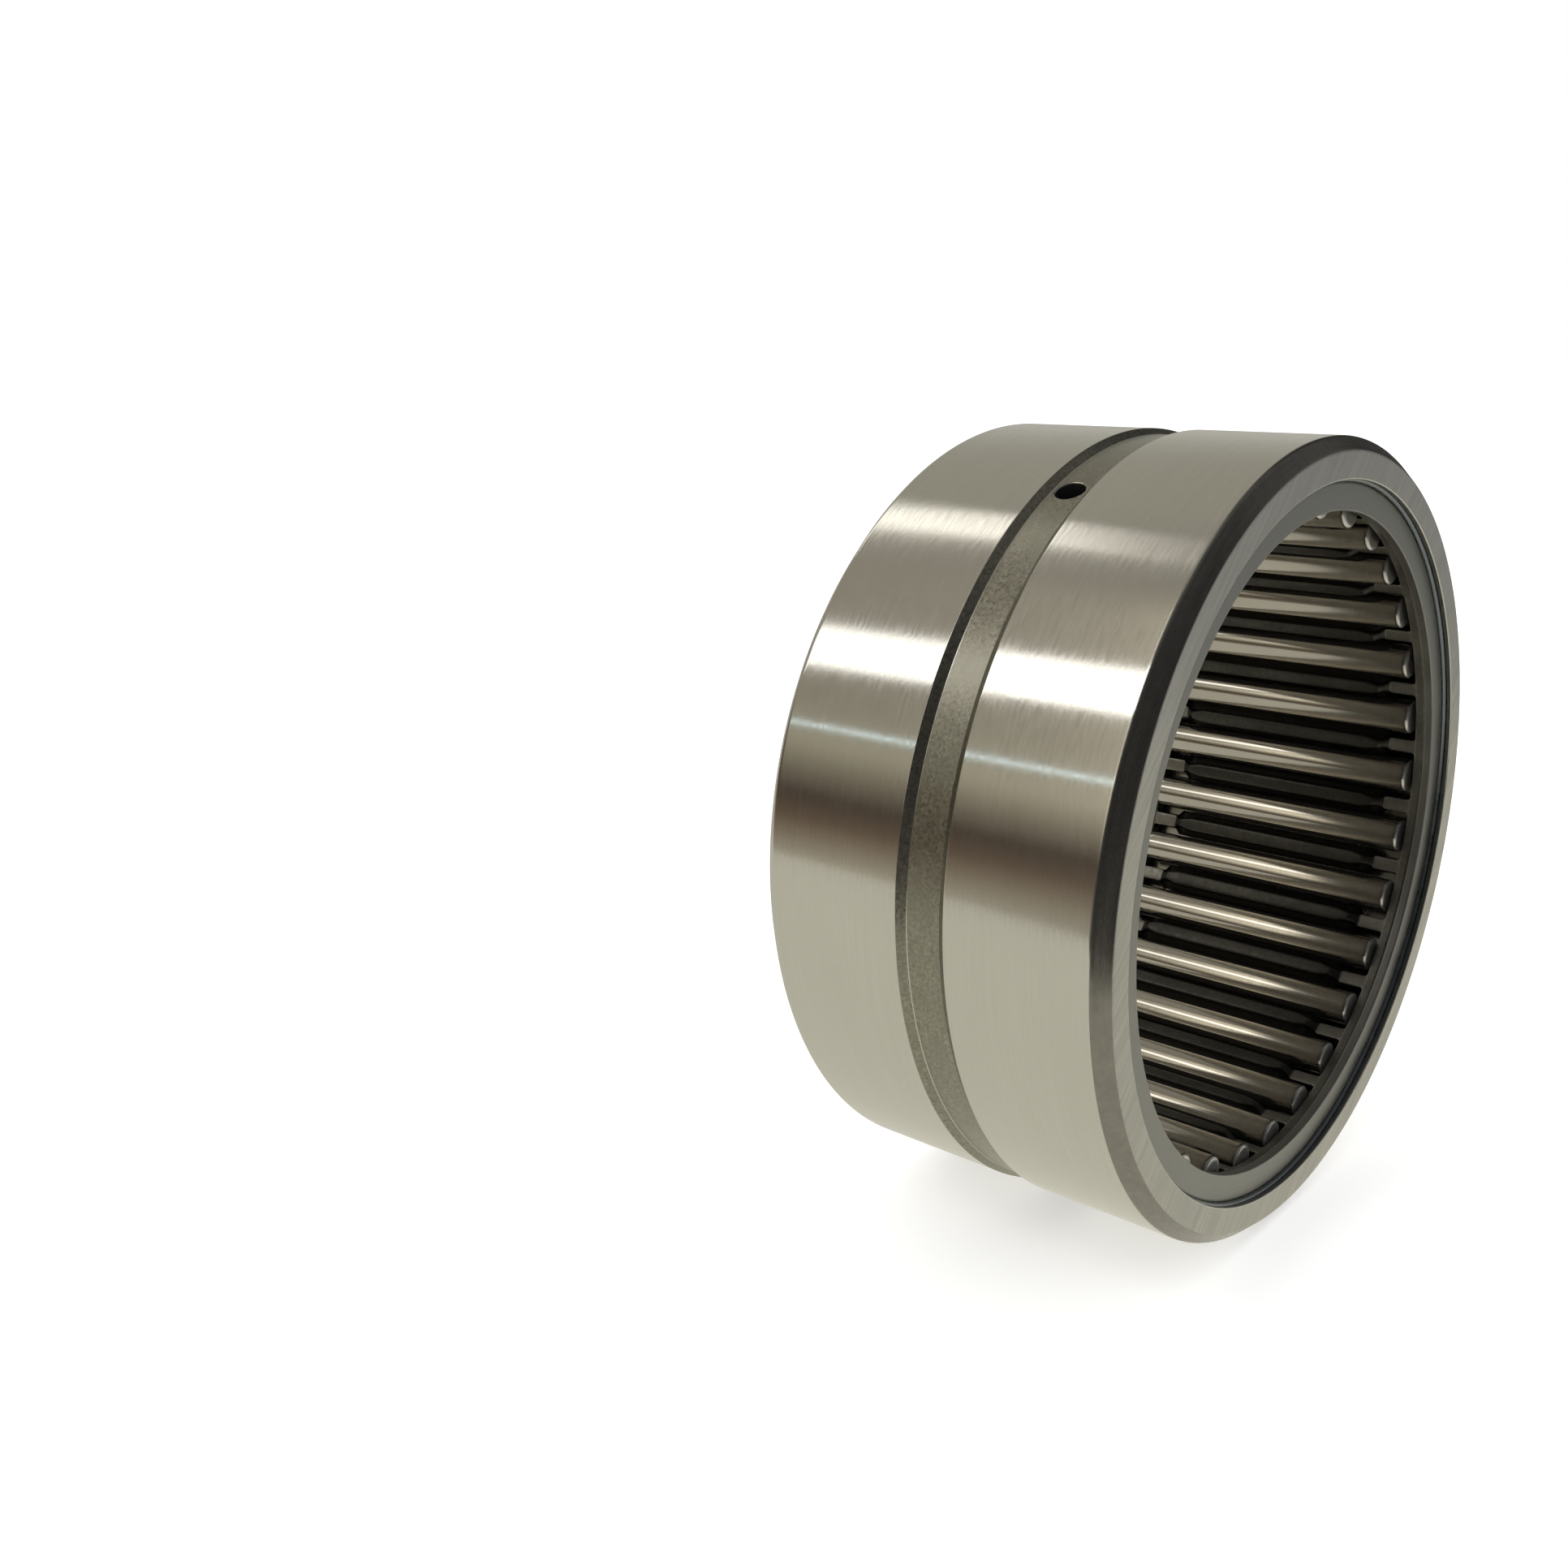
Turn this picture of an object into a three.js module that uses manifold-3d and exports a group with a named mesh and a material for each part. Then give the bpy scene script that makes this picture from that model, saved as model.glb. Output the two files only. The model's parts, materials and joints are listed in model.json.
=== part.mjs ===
// Needle roller bearing without an inner ring, as separate solids in one frame.
// Millimetres, +Z up. The bearing's axis is the Y axis, its centre is the origin,
// and it stands on the lowest flat of its outer ring.

import * as THREE from "three";
import { mergeVertices } from "three/addons/utils/BufferGeometryUtils.js";
import Module from "manifold-3d";

const wasm = await Module();
wasm.setup();

// ---- driving dimensions -------------------------------------------------

const WIDTH = 44.45; // 1 3/4 in
const OUTER_R = 47.625; // 3 3/4 in across
const SHAFT_R = 38.1; // 3 in across the inside of the rollers

const ROLLER_COUNT = 30;
const ROLLER_R = 2.25;
const ROLLER_HALF = 18.2;
const ROLLER_CHAMFER = 0.35;
const RUN_CLEARANCE = 0.04;

const OUTER_CHAMFER = 1.6;

const GROOVE_HALF = 3.1;
const GROOVE_FLOOR_HALF = 2.12;
const GROOVE_DEPTH = 0.72;
const OIL_HOLE_R = 1.7;
const OIL_HOLE_ANGLE = 116.5; // degrees from +X towards +Z

const SEAT_R = 42.85; // counterbore that holds a side ring
const SEAT_END = 19.95;
const LIP_CHAMFER = 0.12;

const WIRE_R = 0.4; // section of a snap ring
const WIRE_RING_R = 42.95;
const WIRE_POS = 21.15;
const WIRE_GAP_ANGLE = 7; // degrees that a snap ring leaves open
const WIRE_GAP_AT = 166;
const WIRE_GROOVE_HALF = 0.45;
const WIRE_GROOVE_R = 43.4;

const SIDE_BORE_R = 39.3;
const SIDE_INNER = 20.0;
const SIDE_FACE = 21.1;
const SIDE_CORNER = 0.8; // radius of its rounded outer corner
const SIDE_CORNER_STEPS = 3;
const SIDE_CLEARANCE = 0.12;

const CAGE_FLANGE_INNER = 18.57;
const CAGE_FLANGE_OUTER = 19.85;
const CAGE_FLANGE_R = 42.0;
const TAB_INNER_R = 39.95;
const TAB_OUTER_R = 41.3;
const TAB_END = 15.1;
const CENTRE_INNER_R = 38.95;
const CENTRE_OUTER_R = 40.35;
const CENTRE_START = 13.7;
const SLOPE_SHIFT = 0.25; // the outer bend lies this much further in

const NOSE_R = 39.6; // where a bar is widest and holds its rollers in
const NOSE_CLEARANCE = 0.12;
const BAR_FACE_HALF = 0.85; // half the width of a bar's inner face
const TAB_HALF = 0.9; // half the width of a bar near its ends

const RING_SIDES = 60;
const WIRE_SIDES = 8;
const ROLLER_SIDES = 12;
const HOLE_SIDES = 24;

// ---- worked out from them -----------------------------------------------

const HALF = WIDTH / 2;
const PITCH_R = SHAFT_R + ROLLER_R;
const RACEWAY_R = SHAFT_R + 2 * ROLLER_R + RUN_CLEARANCE;
const PITCH_ANGLE = (2 * Math.PI) / ROLLER_COUNT;

// ---- materials ----------------------------------------------------------

function steel(name, colour, roughness) {
  return new THREE.MeshStandardMaterial({ name, color: colour, roughness, metalness: 1 });
}

const ringSteel = steel("ground_ring_steel", 0xb3b1a8, 0.3);
const sideSteel = steel("side_ring_steel", 0x8e8f88, 0.4);
const wireSteel = steel("snap_wire_steel", 0x5f615f, 0.35);
const cageSteel = steel("pressed_cage_steel", 0x5c5b55, 0.45);
const rollerSteel = steel("polished_roller_steel", 0x9a938a, 0.12);

// ---- geometry helpers ---------------------------------------------------

const point = (radius, along) => new THREE.Vector2(radius, along);

// A lathe's seam repeats its corners, so equal corners are merged.
function welded(geometry) {
  const bare = geometry.clone();
  bare.deleteAttribute("normal");
  bare.deleteAttribute("uv");
  return mergeVertices(bare, 1e-4);
}

// Revolves a closed outline about Y. Each flat lies at the outline's own radius,
// and one flat faces straight down.
function ringOf(outline, sides) {
  const stretch = 1 / Math.cos(Math.PI / sides);
  const points = outline.map((corner) => point(corner.x * stretch, corner.y));
  points.push(points[0].clone());
  return welded(new THREE.LatheGeometry(points, sides, Math.PI / sides));
}

function toSolid(geometry) {
  const mesh = new wasm.Mesh({
    numProp: 3,
    vertProperties: new Float32Array(geometry.attributes.position.array),
    triVerts: new Uint32Array(geometry.index.array),
  });
  return new wasm.Manifold(mesh);
}

function toGeometry(solid) {
  const { vertProperties, triVerts } = solid.getMesh();
  const geometry = new THREE.BufferGeometry();
  geometry.setAttribute("position", new THREE.BufferAttribute(vertProperties, 3));
  geometry.setIndex(new THREE.BufferAttribute(triVerts, 1));
  geometry.computeVertexNormals();
  return geometry;
}

// Mirrors the front half of an outline, listed from the mid plane outwards.
function mirrored(half) {
  const back = half.map((corner) => point(corner.x, -corner.y)).reverse();
  return [...back, ...half];
}

// Lays a prism along Y with its outline in the plane of radius and width, at an angle.
function barPrism(outline, from, to, angle) {
  const shape = new THREE.Shape(outline);
  const prism = new THREE.ExtrudeGeometry(shape, { depth: to - from, bevelEnabled: false });
  prism.rotateX(Math.PI / 2);
  prism.translate(0, to, 0);
  prism.rotateY(-angle);
  return welded(prism);
}

// ---- outer ring ---------------------------------------------------------

function outerSurface() {
  return [
    point(OUTER_R - GROOVE_DEPTH, GROOVE_FLOOR_HALF),
    point(OUTER_R, GROOVE_HALF),
    point(OUTER_R, HALF - OUTER_CHAMFER),
    point(OUTER_R - OUTER_CHAMFER, HALF),
  ];
}

function innerSurface() {
  return [
    point(SEAT_R + LIP_CHAMFER, HALF),
    point(SEAT_R, HALF - LIP_CHAMFER),
    point(SEAT_R, WIRE_POS + WIRE_GROOVE_HALF),
    point(WIRE_GROOVE_R, WIRE_POS + WIRE_GROOVE_HALF),
    point(WIRE_GROOVE_R, WIRE_POS - WIRE_GROOVE_HALF),
    point(SEAT_R, WIRE_POS - WIRE_GROOVE_HALF),
    point(SEAT_R, SEAT_END),
    point(RACEWAY_R, SEAT_END),
  ];
}

function outerRing() {
  const outside = mirrored(outerSurface());
  const inside = mirrored(innerSurface().reverse()).reverse();
  const ring = toSolid(ringOf([...outside, ...inside], RING_SIDES));
  const reach = OUTER_R - SHAFT_R;
  const hole = new THREE.CylinderGeometry(OIL_HOLE_R, OIL_HOLE_R, reach, HOLE_SIDES);
  hole.rotateZ(-Math.PI / 2);
  hole.translate(SHAFT_R + reach / 2 + 1, 0, 0);
  hole.rotateY(-THREE.MathUtils.degToRad(OIL_HOLE_ANGLE));
  return toGeometry(ring.subtract(toSolid(welded(hole))));
}

// ---- side rings and snap rings ------------------------------------------

// A quarter round whose two tangent sides would meet at (radius, along).
function roundedCorner(radius, along, round, steps) {
  const points = [];
  for (let step = 0; step <= steps; step += 1) {
    const turn = (Math.PI / 2) * (step / steps);
    const out = round * (1 - Math.cos(turn));
    const up = round * (1 - Math.sin(turn));
    points.push(point(radius - out, along - up));
  }
  return points;
}

function sideRing(side) {
  const outer = SEAT_R - SIDE_CLEARANCE;
  const outline = [
    point(SIDE_BORE_R, SIDE_INNER),
    point(outer, SIDE_INNER),
    ...roundedCorner(outer, SIDE_FACE, SIDE_CORNER, SIDE_CORNER_STEPS),
    point(SIDE_BORE_R, SIDE_FACE),
  ];
  const geometry = ringOf(outline, RING_SIDES);
  return side < 0 ? geometry.rotateX(Math.PI) : geometry;
}

class SnapRingLine extends THREE.Curve {
  constructor(along) {
    super();
    this.along = along;
  }

  getPoint(t, target = new THREE.Vector3()) {
    const open = THREE.MathUtils.degToRad(WIRE_GAP_ANGLE);
    const middle = THREE.MathUtils.degToRad(WIRE_GAP_AT);
    const angle = middle + open / 2 + t * (2 * Math.PI - open);
    return target.set(WIRE_RING_R * Math.cos(angle), this.along, WIRE_RING_R * Math.sin(angle));
  }
}

function snapRing(side) {
  const section = new THREE.Shape();
  section.absarc(0, 0, WIRE_R, 0, 2 * Math.PI);
  const wire = new THREE.ExtrudeGeometry(section, {
    extrudePath: new SnapRingLine(side * WIRE_POS),
    steps: RING_SIDES,
    curveSegments: WIRE_SIDES / 2,
    bevelEnabled: false,
  });
  return welded(wire);
}

// ---- cage ---------------------------------------------------------------

function cageBlank() {
  const inner = [
    point(CENTRE_INNER_R, CENTRE_START),
    point(TAB_INNER_R, TAB_END),
    point(TAB_INNER_R, CAGE_FLANGE_OUTER),
  ];
  const outer = [
    point(CENTRE_OUTER_R, CENTRE_START - SLOPE_SHIFT),
    point(TAB_OUTER_R, TAB_END - SLOPE_SHIFT),
    point(TAB_OUTER_R, CAGE_FLANGE_INNER),
    point(CAGE_FLANGE_R, CAGE_FLANGE_INNER),
    point(CAGE_FLANGE_R, CAGE_FLANGE_OUTER),
  ];
  return ringOf([...mirrored(outer), ...mirrored(inner).reverse()], RING_SIDES);
}

// Half the free width at a radius, left between two bars of the given half width.
const freeHalf = (radius, barHalf) => radius * Math.tan(PITCH_ANGLE / 2) - barHalf;

function pocketOutline() {
  const below = PITCH_R - NOSE_R;
  const noseHalf = Math.sqrt(ROLLER_R ** 2 - below ** 2) + NOSE_CLEARANCE;
  const bellyHalf = ROLLER_R + NOSE_CLEARANCE;
  const faceHalf = freeHalf(CENTRE_INNER_R, BAR_FACE_HALF);
  const right = [
    point(CENTRE_INNER_R - 1, faceHalf),
    point(CENTRE_INNER_R, faceHalf),
    point(NOSE_R, noseHalf),
    point(PITCH_R, bellyHalf),
    point(CAGE_FLANGE_R + 1, bellyHalf),
  ];
  const left = right.map((corner) => point(corner.x, -corner.y)).reverse();
  return [...right, ...left];
}

function endOutline() {
  const half = freeHalf(TAB_INNER_R, TAB_HALF);
  const low = TAB_INNER_R - 2;
  const high = CAGE_FLANGE_R + 1;
  return [point(low, half), point(high, half), point(high, -half), point(low, -half)];
}

function cage() {
  let body = toSolid(cageBlank());
  for (let place = 0; place < ROLLER_COUNT; place += 1) {
    const angle = place * PITCH_ANGLE;
    const whole = barPrism(pocketOutline(), -CAGE_FLANGE_INNER, CAGE_FLANGE_INNER, angle);
    body = body.subtract(toSolid(whole));
    for (const [from, to] of [[-CAGE_FLANGE_INNER, -TAB_END], [TAB_END, CAGE_FLANGE_INNER]]) {
      body = body.subtract(toSolid(barPrism(endOutline(), from, to, angle)));
    }
  }
  return toGeometry(body);
}

// ---- rollers ------------------------------------------------------------

function roller() {
  const outline = [
    point(0, -ROLLER_HALF),
    point(ROLLER_R - ROLLER_CHAMFER, -ROLLER_HALF),
    point(ROLLER_R, ROLLER_CHAMFER - ROLLER_HALF),
    point(ROLLER_R, ROLLER_HALF - ROLLER_CHAMFER),
    point(ROLLER_R - ROLLER_CHAMFER, ROLLER_HALF),
    point(0, ROLLER_HALF),
  ];
  return welded(new THREE.LatheGeometry(outline, ROLLER_SIDES));
}

// ---- assembly -----------------------------------------------------------

const bearing = new THREE.Group();

function add(name, geometry, material) {
  const mesh = new THREE.Mesh(geometry, material);
  mesh.name = name;
  bearing.add(mesh);
  return mesh;
}

add("outer_ring", outerRing(), ringSteel);
for (const [end, side] of [["front", -1], ["rear", 1]]) {
  add(`side_ring_${end}`, sideRing(side), sideSteel);
  add(`snap_ring_${end}`, snapRing(side), wireSteel);
}
add("cage", cage(), cageSteel);

const rollerShape = roller();
for (let place = 0; place < ROLLER_COUNT; place += 1) {
  const number = String(place + 1).padStart(2, "0");
  const angle = place * PITCH_ANGLE;
  const mesh = add(`roller_${number}`, rollerShape, rollerSteel);
  mesh.position.set(PITCH_R * Math.cos(angle), 0, PITCH_R * Math.sin(angle));
}

export default bearing;
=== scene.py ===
import json
import math

import bmesh
import bpy
from mathutils import Matrix, Vector

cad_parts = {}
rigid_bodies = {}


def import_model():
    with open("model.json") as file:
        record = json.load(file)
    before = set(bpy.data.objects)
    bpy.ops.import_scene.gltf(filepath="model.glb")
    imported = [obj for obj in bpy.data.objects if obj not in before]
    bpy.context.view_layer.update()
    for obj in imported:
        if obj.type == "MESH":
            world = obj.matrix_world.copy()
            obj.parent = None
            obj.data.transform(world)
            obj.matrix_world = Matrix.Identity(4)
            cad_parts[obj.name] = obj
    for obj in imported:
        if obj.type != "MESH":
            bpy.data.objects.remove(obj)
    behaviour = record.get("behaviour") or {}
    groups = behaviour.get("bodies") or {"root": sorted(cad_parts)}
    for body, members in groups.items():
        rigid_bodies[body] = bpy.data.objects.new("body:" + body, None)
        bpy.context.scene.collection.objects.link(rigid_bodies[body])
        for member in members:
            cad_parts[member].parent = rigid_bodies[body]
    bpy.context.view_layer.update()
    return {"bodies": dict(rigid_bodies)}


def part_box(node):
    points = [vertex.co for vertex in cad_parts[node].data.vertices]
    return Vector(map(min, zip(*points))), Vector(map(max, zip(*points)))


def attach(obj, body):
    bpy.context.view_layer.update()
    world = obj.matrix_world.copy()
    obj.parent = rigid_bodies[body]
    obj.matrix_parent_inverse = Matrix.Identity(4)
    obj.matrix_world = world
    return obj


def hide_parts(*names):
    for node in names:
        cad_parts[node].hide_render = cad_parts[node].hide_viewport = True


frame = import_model()

MM = 0.001

# ---- sizes from the frame, in millimetres ----------------------------------


def span(node, axis):
    """Lowest and highest place of a CAD node along an axis, in millimetres."""
    low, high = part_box(node)
    return low[axis] / MM, high[axis] / MM


OUTER_R = -span("outer_ring", 2)[0]
HALF = span("outer_ring", 1)[1]
SIDE_INNER, SIDE_FACE = span("side_ring_rear", 1)
SIDE_OUTER_R = -span("side_ring_rear", 2)[0]
CAGE_END = span("cage", 1)[1]
FLANGE_R = -span("cage", 2)[0]
ROLLER_HALF = span("roller_01", 1)[1]
ROLLER_COUNT = sum(body.startswith("roller_") for body in frame["bodies"])

# ---- sizes of the detail, in millimetres and degrees -----------------------

OUTER_CHAMFER = 1.6
CHAMFER_TO_OUTSIDE = 0.7  # roundings where the chamfer meets the outside and the face
CHAMFER_TO_FACE = 0.45

GROOVE_HALF = 3.1
GROOVE_FLOOR_HALF = 2.12
GROOVE_DEPTH = 0.72
GROOVE_LIP = 0.10
GROOVE_FOOT_FRONT = 0.16
GROOVE_FOOT_REAR = 0.2

OIL_HOLE_R = 1.7
OIL_HOLE_ANGLE = 116.5
OIL_HOLE_BEVEL = 0.14
OIL_HOLE_SIDES = 72
DRILL_OVERRUN = 2
DRILL_MARGIN = 0.1

RACEWAY_R = 42.64
SEAT_R = 42.85
SEAT_END = 19.95
SEAT_LIP = 0.14
INNER_CORNER = 0.05

WIRE_R = 0.4
WIRE_END_SHARE = 0.78  # share of the wire's radius that is left at its cut ends
WIRE_RING_R = 42.95
WIRE_POS = 21.15
WIRE_GAP_ANGLE = 7
WIRE_GAP_AT = 166
WIRE_GROOVE_HALF = 0.45
WIRE_GROOVE_R = 43.4
WIRE_GROOVE_CORNER = 0.14

SIDE_BORE_R = 39.3
SIDE_CORNER = 0.8
SIDE_BORE_CORNER = 0.16
SIDE_HIDDEN_CORNER = 0.12

ROLLER_R = 2.25
ROLLER_CORNER = 0.45
ROLLER_CORNER_STEPS = 6
DISH_R = 1.25
DISH_DEPTH = 0.05

FLANGE_INNER_R = 39.95
FLANGE_CORNER = 0.25
WINDOW_CORNER_INNER = 0.14
WINDOW_CORNER_OUTER = 0.2
WINDOW_END = 18.57
BAR_END = 19.1
TAB_FLARE = 0.42

RING_STEPS = 360
WIRE_STEPS = 340
WIRE_SIDES = 16
ROLLER_SIDES = 56

# ---- mesh helpers ----------------------------------------------------------

SHARP_ANGLE = 38
SUPPORT = 0.12  # how far a rounding's support points lie from it
SUPPORT_SHARE = 0.1  # the most of a side that a support point may take
ROUNDING_SHARE = 0.42  # the most of a side that a rounding may take
SLIVER = 0.0005


def circle_angles(count):
    return [2 * math.pi * step / count for step in range(count)]


def polar(radius, along, angle):
    return (radius * math.cos(angle), along, radius * math.sin(angle))


def clamped_share(low, high, value):
    return min(1.0, max(0.0, (value - low) / (high - low)))


def smoothstep(low, high, value):
    t = clamped_share(low, high, value)
    return t * t * (3 - 2 * t)


def tidy_normals(mesh):
    """Turns the faces outwards and shades them smooth, but for sharp edges."""
    work = bmesh.new()
    work.from_mesh(mesh)
    bmesh.ops.recalc_face_normals(work, faces=work.faces)
    work.to_mesh(mesh)
    work.free()
    mesh.shade_smooth()
    mesh.set_sharp_from_angle(angle=math.radians(SHARP_ANGLE))


def make_object(name, points, faces, finishes, materials):
    """An object from points in millimetres; finishes gives each face's material."""
    mesh = bpy.data.meshes.new(name)
    mesh.from_pydata([Vector(p) * MM for p in points], [], faces)
    for material in materials:
        mesh.materials.append(material)
    mesh.polygons.foreach_set("material_index", finishes)
    tidy_normals(mesh)
    piece = bpy.data.objects.new(name, mesh)
    bpy.context.scene.collection.objects.link(piece)
    return piece


def round_corners(corners, steps=3):
    """Rounds a closed outline, and returns it as ((radius, along), finish) pairs.

    A corner is (radius, along, rounding, finish of the side after it), and may end with
    the finish of the rounding itself. A support point on each side of a rounding keeps
    the flat sides flat when shaded."""
    outline = []
    for i, (radius, along, rounding, finish, *edge) in enumerate(corners):
        here = Vector((radius, along))
        back = Vector(corners[i - 1][:2]) - here
        ahead = Vector(corners[(i + 1) % len(corners)][:2]) - here
        last_finish = corners[i - 1][3]
        half_angle = back.angle(ahead) / 2
        reach = min(
            rounding / math.tan(half_angle),
            ROUNDING_SHARE * back.length,
            ROUNDING_SHARE * ahead.length,
        )
        round_r = reach * math.tan(half_angle)
        to_back, to_ahead = back.normalized(), ahead.normalized()
        centre = here + (to_back + to_ahead).normalized() * (round_r / math.sin(half_angle))
        first = here + to_back * reach - centre
        final = here + to_ahead * reach - centre
        sweep = first.angle(final)
        support = to_back * min(SUPPORT, SUPPORT_SHARE * back.length)
        outline.append((centre + first + support, last_finish))
        for step in range(steps + 1):
            t = step / steps
            arm = first * math.sin((1 - t) * sweep) + final * math.sin(t * sweep)
            side = last_finish if t < 0.5 else finish
            if edge and step < steps:
                side = edge[0]
            outline.append((centre + arm / math.sin(sweep), side))
        support = to_ahead * min(SUPPORT, SUPPORT_SHARE * ahead.length)
        outline.append((centre + final + support, finish))
    return outline


def revolve(name, outline, materials):
    """Turns a closed outline of ((radius, along), finish) about the Y axis."""
    count = len(outline)
    points, faces, finishes = [], [], []
    for angle in circle_angles(RING_STEPS):
        points += [polar(corner[0], corner[1], angle) for corner, _ in outline]
    for step in range(RING_STEPS):
        here, there = step * count, ((step + 1) % RING_STEPS) * count
        for i, (_, finish) in enumerate(outline):
            j = (i + 1) % count
            faces.append((here + i, here + j, there + j, there + i))
            finishes.append(finish)
    return make_object(name, points, faces, finishes, materials)


def tube(sections):
    """Points and faces of a closed tube through sections, each a ring of as many points.

    The faces run section by section, and the two end caps come last."""
    count = len(sections[0])
    points = [p for section in sections for p in section]
    faces = []
    for s in range(len(sections) - 1):
        here, there = s * count, (s + 1) * count
        for i in range(count):
            j = (i + 1) % count
            faces.append((here + i, here + j, there + j, there + i))
    last = (len(sections) - 1) * count
    faces.append(tuple(range(count))[::-1])
    faces.append(tuple(last + i for i in range(count)))
    return points, faces


def merge_slivers(mesh):
    """Merges the corners of the very thin faces that a boolean leaves."""
    work = bmesh.new()
    work.from_mesh(mesh)
    bmesh.ops.remove_doubles(work, verts=work.verts, dist=SLIVER * MM)
    bmesh.ops.dissolve_degenerate(work, dist=SLIVER * MM, edges=work.edges)
    work.to_mesh(mesh)
    work.free()


def apply_boolean(target, tool, operation):
    """Cuts the tool from the target or joins it on, and removes the tool."""
    modifier = target.modifiers.new("cut", "BOOLEAN")
    modifier.operation = operation
    modifier.object = tool
    modifier.solver = "EXACT"
    bpy.context.view_layer.update()
    result = bpy.data.meshes.new_from_object(
        target.evaluated_get(bpy.context.evaluated_depsgraph_get())
    )
    target.modifiers.clear()
    merge_slivers(result)
    old = target.data
    name = old.name
    target.data = result
    bpy.data.meshes.remove(old)
    result.name = name
    bpy.data.objects.remove(tool)
    tidy_normals(result)


# ---- material helpers ------------------------------------------------------

NOISE_RANGE = (0.3, 0.7)  # holds most of the values that a noise gives
QUARTER_TURN = 0.25


class Finish:
    """A node material around one metallic shader, with a few short ways to add detail."""

    def __init__(self, name, anisotropy=0.0, metallic=1.0):
        self.material = bpy.data.materials.new(name)
        self.material.use_nodes = True
        self.tree = self.material.node_tree
        self.shader = self.tree.nodes["Principled BSDF"]
        self.shader.inputs["Metallic"].default_value = metallic
        self.normal = None
        self.place = self.add("ShaderNodeTexCoord").outputs["Object"]
        if anisotropy:
            self.shader.inputs["Anisotropic"].default_value = anisotropy
            self.shader.inputs["Anisotropic Rotation"].default_value = QUARTER_TURN
            tangent = self.add("ShaderNodeTangent", direction_type="RADIAL", axis="Y")
            self.join(tangent.outputs[0], self.shader.inputs["Tangent"])

    def add(self, kind, **settings):
        node = self.tree.nodes.new(kind)
        for key, value in settings.items():
            setattr(node, key, value)
        return node

    def join(self, source, socket):
        self.tree.links.new(source, socket)

    def feed(self, socket, value):
        """Links a socket to the value, or sets it where the value is constant."""
        if isinstance(value, bpy.types.NodeSocket):
            self.join(value, socket)
        else:
            socket.default_value = value

    def noise(self, stretch, detail=3.0, roughness=0.55, turn=(0, 0, 0)):
        """Noise with a feature size of about 1/stretch metres along each axis."""
        mapping = self.add("ShaderNodeMapping", vector_type="TEXTURE")
        self.join(self.place, mapping.inputs["Vector"])
        mapping.inputs["Rotation"].default_value = turn
        mapping.inputs["Scale"].default_value = [1 / value for value in stretch]
        texture = self.add("ShaderNodeTexNoise")
        self.join(mapping.outputs[0], texture.inputs["Vector"])
        texture.inputs["Scale"].default_value = 1.0
        texture.inputs["Detail"].default_value = detail
        texture.inputs["Roughness"].default_value = roughness
        return texture.outputs["Fac"]

    def turned_rings(self, scale):
        """Noise that changes only with the distance from the Y axis."""
        flat = self.add("ShaderNodeVectorMath", operation="MULTIPLY")
        self.join(self.place, flat.inputs[0])
        flat.inputs[1].default_value = (1, 0, 1)
        radius = self.add("ShaderNodeVectorMath", operation="LENGTH")
        self.join(flat.outputs[0], radius.inputs[0])
        texture = self.add("ShaderNodeTexNoise", noise_dimensions="1D")
        texture.inputs["Scale"].default_value = scale
        texture.inputs["Detail"].default_value = 3.0
        self.join(radius.outputs["Value"], texture.inputs["W"])
        return texture.outputs["Fac"]

    def remap(self, value, source, target):
        """Turns the source range of a value into the target range."""
        node = self.add("ShaderNodeMapRange", clamp=True)
        self.join(value, node.inputs["Value"])
        node.inputs["From Min"].default_value, node.inputs["From Max"].default_value = source
        node.inputs["To Min"].default_value, node.inputs["To Max"].default_value = target
        return node.outputs["Result"]

    def mix(self, factor, first, second):
        node = self.add("ShaderNodeMix", data_type="RGBA")
        self.join(factor, node.inputs["Factor"])
        for socket, value in ((node.inputs[6], first), (node.inputs[7], second)):
            linked = isinstance(value, bpy.types.NodeSocket)
            self.feed(socket, value if linked else (*value, 1.0))
        return node.outputs[2]

    def colour(self, source):
        self.join(source, self.shader.inputs["Base Color"])

    def roughness(self, value):
        self.feed(self.shader.inputs["Roughness"], value)

    def bump(self, height, strength, distance):
        """Adds a bump of the given height in millimetres on top of any earlier one."""
        node = self.add("ShaderNodeBump")
        node.inputs["Strength"].default_value = strength
        node.inputs["Distance"].default_value = distance * MM
        self.join(height, node.inputs["Height"])
        if self.normal:
            self.join(self.normal, node.inputs["Normal"])
        self.normal = node.outputs["Normal"]
        self.join(self.normal, self.shader.inputs["Normal"])


# ---- finishes --------------------------------------------------------------

STROKE_ANGLE = 43  # between the Z axis and the grinding strokes on the end faces


def ground_finish():
    """Outside of the outer ring: bright, ground round the axis."""
    finish = Finish("steel_ground_round", anisotropy=0.9)
    lines = finish.noise((60, 5200, 60), detail=4, roughness=0.6)
    flecks = finish.noise((420, 2600, 420))
    shimmer = finish.noise((900, 2100, 900), roughness=0.6)
    clouds = finish.noise((35, 60, 35), detail=2)
    grey, pale, line_tone = (0.575, 0.56, 0.515), (0.635, 0.62, 0.575), (0.52, 0.505, 0.46)
    tone = finish.mix(clouds, grey, pale)
    finish.colour(finish.mix(finish.remap(lines, (0.35, 0.65), (0, 0.3)), tone, line_tone))
    finish.roughness(finish.remap(flecks, (0.3, 0.75), (0.13, 0.20)))
    finish.bump(lines, 0.5, 0.0012)
    finish.bump(shimmer, 1.0, 0.0034)
    return finish.material


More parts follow.
